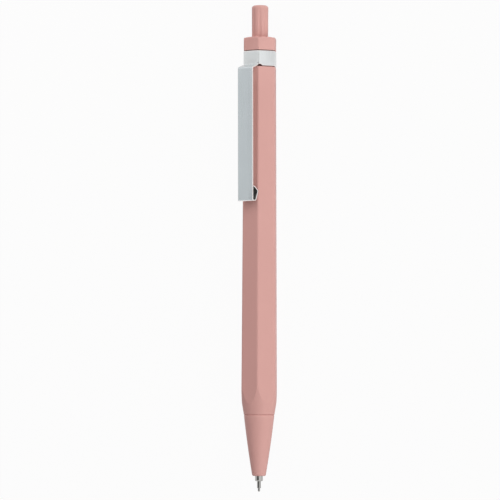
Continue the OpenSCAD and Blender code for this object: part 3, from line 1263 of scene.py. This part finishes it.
@dataclass
class Clip(Assembly):
    """The stamped clip: a hexagonal band and an arm with a folded foot, bent from one sheet."""

    finishes: ClassVar[tuple[Finish, ...]] = (CLIP_STEEL, CLIP_EDGE, CLIP_INSIDE_PAINTED_SHADE)
    sheet: float = 0.42
    foot_thinning: float = 0.28
    band_half: float = 4.635
    band_corner: float = 1.1
    band_low: float = 101.8
    band_high: float = 106.28
    band_crown: float = 0.05
    crown_rise: float = 1.2
    notch_rise: float = 0.4
    notch_half: float = 0.46
    arm_half: float = 2.68
    foot_half: float = 3.02
    foot_reach: float = 70.0
    fold_reach: float = 62.4
    hollow_reach: float = 66.9
    arm_crown: float = 0.035
    root_flare: float = 1.2
    edge_round: float = 0.2
    edge_steps: int = 8
    band_rows: int = 7
    corner_steps: int = 16
    long_stretch: float = 6.0
    long_step: float = 3.0
    short_step: float = 0.4
    crease: float = 50
    places: tuple[float, ...] = (1, 0.94, 0.88, 0.82, 0.76, 0.7, 0.64, 0.58, 0.5, 0.3)
    corners: tuple[Flat, ...] = (
        (4.425, 102.42),
        (4.425, 102.1),
        (7.43, 101.036),
        (7.163, 62.26),
        (6.163, 62.31),
        (4.97, 65.084),
        (6.8, 66.36),
    )
    bends: tuple[float, ...] = (0, 0.35, 0.55, 0.3, 0.3, 0.4, 0)

    @property
    def half(self) -> float:
        """Half the band's width across the flats, through the middle of the sheet."""
        return self.band_half - self.sheet / 2

    @property
    def corner(self) -> float:
        """Radius of the band's corners through the middle of the sheet."""
        return self.band_corner - self.sheet / 2

    @property
    def root(self) -> float:
        """Place along the pen where the arm leaves the band."""
        return self.corners[0][1]

    def _run(self, column: Column) -> float:
        """Measure how far round the band a column lies past the arm, short of its rounded edge.

        Args:
            column: The column.

        Returns:
            The distance, 0 or less over the arm's width and large on the far side.
        """
        middle = self.corner * HALF_FACE
        edge = middle - self.edge_round
        if column.turn is not None and column.face in (0, FACES - 1):
            turn = HALF_FACE + column.turn
            return self.corner * (turn if column.face == 0 else 2 * HALF_FACE - turn) - edge
        if column.face in (1, FACES - 1):
            along = 1 + column.place if column.face == 1 else 1 - column.place
            return 2 * middle - edge + along * (self.half - self.corner) * math.tan(HALF_FACE)
        return -edge if column.face == 0 else math.inf

    def _lower_edge(self, column: Column) -> float:
        """Give the height of the band's lower edge, with the relief notch beside the arm.

        Args:
            column: The column of the band.

        Returns:
            The place along the pen.
        """
        run = self._run(column)
        if run < TINY:
            return self.root
        half = self.notch_half + self.edge_round
        off = (run - half) / half
        low = self.band_low + self.edge_round
        peak = low + self.notch_rise
        if off < 0:
            return self.root + (peak - self.root) * math.sqrt(1 - off * off)
        return low + self.notch_rise * math.sqrt(max(0, 1 - off * off))

    def _arm_line(self) -> list[Flat]:
        """Lay out the arm's line through the middle of the sheet.

        Returns:
            Its points, with the long stretches divided.
        """
        line = bent(self.corners, self.bends)
        divided = [line[0]]
        for start, end in zip(line, line[1:]):
            gap = math.dist(start, end)
            step = self.short_step if gap < self.long_stretch else self.long_step
            for t in spread(0, 1, max(1, math.ceil(gap / step)))[1:]:
                divided.append(tuple(Vector(start).lerp(Vector(end), t)))
        return divided

    def _band(self, columns: Sequence[Column]) -> Sheet:
        """Lay out the band.

        Args:
            columns: Columns round the hexagon.

        Returns:
            The band, with one column of points after the other.
        """
        band = Sheet()
        stride = self.band_rows + 1
        for column in columns:
            base = Vector((*column.point(self.half, self.corner), 0))
            out = Vector((*column.outward(), 0))
            crown = self.band_crown * (1 - column.place**2) if column.turn is None else 0
            top = self.band_high - self.edge_round
            for s in spread(self._lower_edge(column), top, self.band_rows):
                rise = crown * ease((s - self.root) / self.crown_rise)
                band.points.append(base + out * rise + Vector((0, 0, s)))
                band.normals.append(out)
        for i in range(len(columns)):
            k = (i + 1) % len(columns)
            for row in range(self.band_rows):
                low, high = i * stride + row, k * stride + row
                band.faces.append((low, high, high + 1, low + 1))
        return band

    def _middle(self) -> Sheet:
        """Lay out the band and the arm that goes on from its lower edge.

        Returns:
            The surface through the middle of the sheet.
        """
        columns = hexagon_columns(self.places, self.corner_steps)
        sheet = self._band(columns)
        points, normals = sheet.points, sheet.normals
        stride = self.band_rows + 1
        roots = [i * stride for i, column in enumerate(columns) if self._run(column) < TINY]
        roots.sort(key=lambda i: points[i].y)
        before = roots
        edge = points[roots[-1]].y
        fold = self.corners[3][0]
        line = self._arm_line()
        walked = 0.0
        for i, (x, s) in enumerate(line[1:], 1):
            walked += math.dist(line[i - 1], line[i])
            ahead = (Vector(line[min(i + 1, len(line) - 1)]) - Vector(line[i - 1])).normalized()
            out = Vector((-ahead.y, 0, ahead.x))
            flat = ease(walked / self.root_flare)
            foot = ease((fold - x) / self.sheet) if s < self.foot_reach else 0
            half = self.arm_half + (self.foot_half - self.arm_half) * foot - self.edge_round
            wide = 1 + (half / edge - 1) * flat
            row = []
            for root in roots:
                first, lean = points[root], normals[root]
                crown = self.arm_crown * (1 - (first.y / edge) ** 2) * flat
                drop = (first.x - self.half) * (1 - flat) + crown
                row.append(len(points))
                points.append(Vector((x, first.y * wide, s)) + out * drop)
                tilt = math.asin(lean.y) * (1 - flat)
                lean_out = out * math.cos(tilt) + Vector((0, math.sin(tilt), 0))
                normals.append(lean_out * (1 - self.foot_thinning * foot))
            for a in range(len(row) - 1):
                sheet.faces.append((before[a], row[a], row[a + 1], before[a + 1]))
            before = row
        return sheet

    def build(self) -> bpy.types.Object:
        """Thicken the middle surface into the sheet and round its edges.

        Returns:
            The clip.
        """
        middle = self._middle()
        points, normals = middle.points, middle.normals
        lifts = [normal * self.sheet / 2 for normal in normals]
        shape = bmesh.new()
        skins = [
            [shape.verts.new(at(*(p + lift * side))) for p, lift in zip(points, lifts)]
            for side in (1, -1)
        ]
        for face in middle.faces:
            reach = max(points[i].z for i in face)
            # The fold's outside and the underside take the near-white edge finish, a painted
            # highlight; the foot's hollow takes the dark inside finish, painted shade.
            outer = ClipFace.EDGE if reach < self.fold_reach else ClipFace.FRONT
            inner = ClipFace.INSIDE if reach < self.hollow_reach else ClipFace.EDGE
            for skin, finish in zip(skins, (outer, inner)):
                shape.faces.new([skin[i] for i in face]).material_index = finish.value
        edges, away = middle.open_edges()
        turns = spread(QUARTER, -QUARTER, self.edge_steps)[1:-1]
        rims: dict[int, list[bmesh.types.BMVert]] = {}
        for i, way in away.items():
            square = normals[i].normalized()
            out = (way - square * way.dot(square)).normalized() * self.edge_round
            rim = [points[i] + lifts[i] * math.sin(a) + out * math.cos(a) for a in turns]
            rims[i] = [skins[0][i], *(shape.verts.new(at(*p)) for p in rim), skins[1][i]]
        for a, b in edges:
            for k in range(self.edge_steps):
                cut = shape.faces.new((rims[a][k], rims[b][k], rims[b][k + 1], rims[a][k + 1]))
                cut.material_index = ClipFace.EDGE.value
        mesh = bpy.data.meshes.new("clip_skin")
        shape.to_mesh(mesh)
        shape.free()
        return smooth_piece("clip_skin", mesh, self.crease)

    def settle(self, piece: bpy.types.Object) -> None:
        """Hide the CAD band and arm, and fix the clip where it was built.

        Args:
            piece: The clip.
        """
        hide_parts("clip_band", "clip_arm")
        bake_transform(piece)


@dataclass
class Tip:
    """The turned metal tip: the holder in the nose, the slim point and its fine end."""

    point_end: float = -22.38
    rim: float = 0.167
    rim_bevel: float = 0.04
    fine_radius: float = 0.32
    fine_length: float = 1.0
    point_radius: float = 0.55
    point_length: float = 3.05
    point_insert: float = 2.2
    point_shoulder: float = 0.2
    ball_radius: float = 0.25
    socket_radius: float = 0.27
    channel: float = 0.15
    holder_radius: float = 1.15
    holder_shoulder: float = 0.35
    holder_round: float = 0.05
    tube_front: float = -8.4
    tube_insert: float = 4.0
    insert_radius: float = 1.03
    insert_gap: float = 0.05
    holder_channel: float = 0.3
    fit: float = 0.02
    point_steps: int = 64
    point_shoulder_steps: int = 5
    socket_steps: int = 6
    holder_steps: int = 80
    holder_shoulder_steps: int = 7
    holder_round_steps: int = 2
    crease: float = 30

    def point(self) -> bpy.types.Object:
        """Make the slim point with its ball socket and ink channel.

        Returns:
            The point.
        """
        end, fine = self.point_end, self.point_end + self.fine_length
        back = end + self.point_length + self.point_insert
        curve = rounding(self.point_shoulder, self.point_shoulder_steps)
        shoulder = [(self.point_radius - inward, fine + along) for along, inward in curve]
        ball = end + self.ball_radius
        low = -math.asin((ball - end - self.rim) / self.socket_radius)
        high = math.acos(self.channel / self.socket_radius)
        spokes = [polar(self.socket_radius, a, 0) for a in spread(low, high, self.socket_steps)]
        outline = [
            (self.fine_radius - self.fit, end + self.rim),
            (self.fine_radius, end + self.rim + self.rim_bevel),
            (self.fine_radius, fine),
            *shoulder,
            (self.point_radius, back),
            (self.channel, back),
            *((out, ball + along) for out, along, _ in reversed(spokes)),
        ]
        return lathe("point_skin", outline, self.point_steps, self.crease)

    def holder(self) -> bpy.types.Object:
        """Make the holder that carries the point at the front of the ink tube.

        Returns:
            The holder.
        """
        front = self.point_end + self.point_length
        curve = rounding(self.holder_shoulder, self.holder_shoulder_steps)
        hole = self.point_radius + self.fit
        hole_end = front + self.point_insert + self.insert_gap
        back = self.tube_front + self.tube_insert
        inside = [
            (self.holder_radius, self.tube_front),
            (self.insert_radius, self.tube_front),
            (self.insert_radius, back),
            (self.holder_channel, back),
            (self.holder_channel, hole_end),
            (hole, hole_end),
        ]
        outline = [
            (hole, front),
            *((self.holder_radius - inward, front + along) for along, inward in curve),
            *softened(inside, self.holder_round, self.holder_round_steps),
        ]
        return lathe("holder_skin", outline, self.holder_steps, self.crease)

    def dress(self, wardrobe: Wardrobe) -> list[bpy.types.Object]:
        """Build the tip, finish it and set it on the refill.

        Args:
            wardrobe: The finished materials.

        Returns:
            The pieces made.
        """
        pieces = [self.point(), self.holder()]
        nodes = ("writing_point", "tip_holder")
        for piece, node, finish in zip(pieces, nodes, (POINT_NICKEL, TIP_NICKEL)):
            wardrobe.dress(piece, finish)
            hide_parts(node)
            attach(piece, Body.REFILL.value)
        return pieces


@dataclass
class Spring(Assembly):
    """The return spring, built as one fixed coil; the real one stretches as the refill goes back.
    """

    finishes: ClassVar[tuple[Finish, ...]] = (SPRING_STEEL,)
    low: float = -9.79
    high: float = 3.39
    radius: float = 1.93
    wire: float = 0.36
    turns: int = 9
    rings: int = 28
    sides: int = 12
    seat: float = 3.8
    floor: float = -10.2
    crease: float = 45

    def build(self) -> bpy.types.Object:
        """Sweep the wire along its helix.

        Returns:
            The spring.
        """
        shell = Shell()
        count = self.turns * self.rings
        pitch = (self.high - self.low) / (self.turns * math.tau)
        rings = []
        for i, s in enumerate(spread(self.low, self.high, count)):
            angle = math.tau * i / self.rings
            out = Vector(polar(1, angle, 0))
            along = Vector(polar(self.radius, angle + QUARTER, pitch)).normalized()
            side = along.cross(out)
            centre = out * self.radius + Vector((0, 0, s))
            spokes = [out * math.cos(t) + side * math.sin(t) for t in full_turn(self.sides)]
            rings.append(shell.ring(tuple(centre + spoke * self.wire / 2) for spoke in spokes))
        for low, high in zip(rings, rings[1:]):
            shell.join(low, high)
        for end in (rings[0], rings[-1]):
            shell.cap(end)
        return shell.piece("spring_coil", self.crease)

    def settle(self, piece: bpy.types.Object) -> None:
        """Hide the CAD spring and fix the coil where it was built."""
        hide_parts("return_spring")
        at(0, 0, self.floor)
        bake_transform(piece)


@dataclass
class InnerParts:
    """The pieces inside the pen, which keep their CAD shapes."""

    finishes: dict[str, Finish] = field(
        default_factory=lambda: {
            "thrust_plunger": WHITE_NYLON,
            "cam_rotor": WHITE_NYLON,
            "cam_sleeve": WHITE_NYLON,
            "rear_plug": WHITE_NYLON,
            "refill_tube": TUBE_PLASTIC,
            "spring_seat": TUBE_PLASTIC,
            "ink_column": BLUE_INK,
            "ink_follower": FOLLOWER_GREASE,
            "writing_ball": TIP_NICKEL,
        }
    )

    def dress(
        self, wardrobe: Wardrobe, nodes: dict[str, bpy.types.Object]
    ) -> list[bpy.types.Object]:
        """Give each CAD piece its finish.

        Args:
            wardrobe: The finished materials.
            nodes: The frame's CAD objects by name.

        Returns:
            The pieces dressed.
        """
        for name, finish in self.finishes.items():
            wardrobe.dress(nodes[name], finish)
        return [nodes[name] for name in self.finishes]


@dataclass
class Softbox:
    """A large soft lamp."""

    name: str
    place: Point
    target: Point
    size: Flat
    power: float
    colour: Colour = (1, 1, 1)

    def build(self) -> None:
        """Hang the lamp and aim it at its target."""
        lamp = bpy.data.lights.new(self.name, "AREA")
        lamp.shape = "RECTANGLE"
        lamp.size, lamp.size_y = self.size
        lamp.energy = self.power
        lamp.color = self.colour
        holder = bpy.data.objects.new(self.name, lamp)
        holder.visible_glossy = False
        holder.location = self.place
        aim = Vector(self.target) - Vector(self.place)
        holder.rotation_euler = aim.to_track_quat("-Z", "Y").to_euler()
        bpy.context.scene.collection.objects.link(holder)


@dataclass
class Studio:
    """The floor, the lamps and the surrounding light."""

    floor_size: float = 8.0
    floor_drop: float = 0.02
    floor_white: float = 0.955
    floor_far: float = 0.45
    floor_fade: Flat = (0.02, 0.1)
    floor_colour: Colour = (0.62, 0.62, 0.62)
    floor_roughness: float = 0.9
    floor_gloss: float = 0.1
    ambient: float = 0.315
    ambient_tint: Colour = (1, 0.92, 0.94)
    room: tuple[Flat, ...] = (
        (0, 0.72),
        (0.08, 0.92),
        (0.17, 1.0),
        (0.6, 0.9),
        (0.82, 0.755),
        (0.95, 0.94),
    )
    behind: float = 0.85
    behind_span: Flat = (0.62, 0.85)
    card: float = 0.06
    card_place: float = -0.3
    card_half: float = 0.295
    card_edge: float = 0.025
    card_span: Flat = (0.8, 0.88)
    lamps: tuple[Softbox, ...] = (
        Softbox("head_softbox", (0.62, -0.8, 0.31), (0, 0, 0), (0.9, 0.6), 5.5),
        Softbox("nose_softbox", (-0.62, -0.8, 0.31), (0, 0, 0), (0.9, 0.6), 4.15),
        Softbox(
            "fill_softbox", (0.26, 0.19, 0.25), (0.05, 0, 0.005), (0.4, 0.26), 0.5, (1, 0.92, 0.93)
        ),
    )

    @staticmethod
    def _mirrored(graph: Graph) -> Socket:
        """Give 1 for rays that come by way of a mirror or through glass."""
        rays = graph.add("ShaderNodeLightPath").outputs
        return graph.result("MAXIMUM", rays["Is Glossy Ray"], rays["Is Transmission Ray"])

    @staticmethod
    def _straight(graph: Graph) -> Socket:
        """Give 1 for rays that come straight from the eye."""
        return graph.add("ShaderNodeLightPath").outputs["Is Camera Ray"]

    def floor(self) -> None:
        """Lay the floor, white to the eye and still taking the pen's shadow."""
        mesh = bpy.data.meshes.new("floor")
        half = self.floor_size / 2
        drop = -self.floor_drop * MM
        corners = ((-half, -half), (half, -half), (half, half), (-half, half))
        mesh.from_pydata([(*corner, drop) for corner in corners], [], [(0, 1, 2, 3)])
        floor = bpy.data.objects.new("floor", mesh)
        bpy.context.scene.collection.objects.link(floor)
        material = bpy.data.materials.new("floor_white")
        material.use_nodes = True
        graph = Graph(material.node_tree)
        shader = material.node_tree.nodes["Principled BSDF"]
        shader.inputs["Base Color"].default_value = (*self.floor_colour, 1)
        shader.inputs["Roughness"].default_value = self.floor_roughness
        shader.inputs["Specular IOR Level"].default_value = self.floor_gloss
        glow = graph.add("ShaderNodeEmission", {"Strength": 1.0})
        away = graph.add("ShaderNodeVectorMath", {0: graph.place()}, operation="LENGTH")
        levels = (self.floor_white, self.floor_far)
        far = graph.remap(away.outputs["Value"], self.floor_fade, levels)
        near = graph.result("MULTIPLY", self._straight(graph), self.floor_white)
        mirror = graph.result("MULTIPLY", self._mirrored(graph), far)
        share = graph.result("MAXIMUM", near, mirror)
        mix = graph.add("ShaderNodeMixShader", {0: share, 1: shader.outputs[0], 2: glow.outputs[0]})
        out = material.node_tree.nodes["Material Output"]
        graph.feed(out, {"Surface": mix.outputs[0]})
        mesh.materials.append(material)

    def _wall(self, graph: Graph, height: Socket) -> Socket:
        """Add the light of the walls, which changes with the height.

        Args:
            graph: The world's nodes.
            height: Height of the place that is looked at.

        Returns:
            The level's socket.
        """
        ramp = graph.add("ShaderNodeValToRGB", {"Fac": height})
        stops = ramp.color_ramp.elements
        for place, _ in self.room[1:-1]:
            stops.new(place)
        for (place, level), stop in zip(self.room, stops):
            stop.position = place
            stop.color = (level, level, level, 1)
        return ramp.outputs["Color"]

    def surround(self) -> None:
        """Set the light of the room: pale walls all round and a dark card overhead."""
        world = bpy.data.worlds.new("studio")
        world.use_nodes = True
        graph = Graph(world.node_tree)
        graph.tree.nodes.clear()
        way = graph.add("ShaderNodeTexCoord").outputs["Generated"]
        axes = graph.add("ShaderNodeSeparateXYZ", {0: way}).outputs
        overhead = graph.remap(axes["Z"], self.card_span, (0, 1))
        off = graph.result("ABSOLUTE", graph.result("SUBTRACT", axes["X"], self.card_place))
        beside = graph.remap(off, (self.card_half, self.card_half + self.card_edge), (1, 0))
        card = graph.result("MULTIPLY", overhead, beside)
        dark = graph.remap(card, (0, 1), (1, self.card))
        behind = graph.remap(axes["Y"], self.behind_span, (1, self.behind))
        shaded = graph.result("MULTIPLY", self._wall(graph, axes["Z"]), behind)
        level = graph.result("MULTIPLY", shaded, dark)
        tint = (*self.ambient_tint, 1)
        even = graph.add("ShaderNodeBackground", {"Strength": self.ambient, "Color": tint})
        room = graph.add("ShaderNodeBackground", {"Strength": level, "Color": WHITE})
        white = graph.add("ShaderNodeBackground", {"Strength": 1.0, "Color": WHITE})
        mirror = graph.add(
            "ShaderNodeMixShader",
            {0: self._mirrored(graph), 1: even.outputs[0], 2: room.outputs[0]},
        )
        mix = graph.add(
            "ShaderNodeMixShader",
            {0: self._straight(graph), 1: mirror.outputs[0], 2: white.outputs[0]},
        )
        graph.add("ShaderNodeOutputWorld", {"Surface": mix.outputs[0]})
        bpy.context.scene.world = world

    def build(self) -> None:
        """Set up the whole studio."""
        self.floor()
        self.surround()
        for lamp in self.lamps:
            lamp.build()


@dataclass
class Viewpoint:
    """The camera, over the nose end and looking down at the pen."""

    distance: float = 1023.0
    over: float = -48.485
    elevation: float = 55.11
    aim: float = -0.61
    aside: float = -2.784
    roll: float = 0.148
    lens: float = 252.26
    sensor: float = 36.0
    nearest: float = 0.01
    farthest: float = 50.0

    def build(self) -> None:
        """Place the camera and make it the scene's own."""
        lift = math.radians(self.elevation)
        toward = Vector((0, -math.cos(lift), math.sin(lift)))
        across = Vector((0, -math.sin(lift), -math.cos(lift)))
        eye = Vector((self.over, 0, AXIS_Z)) + toward * self.distance
        look = Vector((self.aim, 0, AXIS_Z)) + across * self.aside - eye
        look.normalize()
        right = look.cross(Vector((1, 0, 0))).normalized()
        up = right.cross(look)
        turn = math.radians(self.roll)
        side = right * math.cos(turn) + up * math.sin(turn)
        head = up * math.cos(turn) - right * math.sin(turn)
        data = bpy.data.cameras.new("view")
        data.lens, data.sensor_width = self.lens, self.sensor
        data.clip_start, data.clip_end = self.nearest, self.farthest
        camera = bpy.data.objects.new("view", data)
        placed = Matrix((side, head, -look)).transposed().to_4x4()
        placed.translation = eye * MM
        camera.matrix_world = placed
        bpy.context.scene.collection.objects.link(camera)
        bpy.context.scene.camera = camera


def main() -> None:
    """Load the frame, build every piece around it and light the scene."""
    logging.basicConfig(level=logging.INFO, format="%(name)s: %(message)s")
    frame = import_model()
    bpy.context.scene.view_settings.view_transform = "Standard"
    Viewpoint().build()
    Studio().build()
    wardrobe = Wardrobe.made()
    for assembly in (Barrel(), Nose(), Collar(), Button(), Clip(), Tip(), Spring()):
        for piece in assembly.dress(wardrobe):
            LOG.info("%s: %d faces", piece.name, len(piece.data.polygons))
    for piece in InnerParts().dress(wardrobe, frame["nodes"]):
        LOG.info("%s: CAD shape", piece.name)


if __name__ == "__main__":
    main()
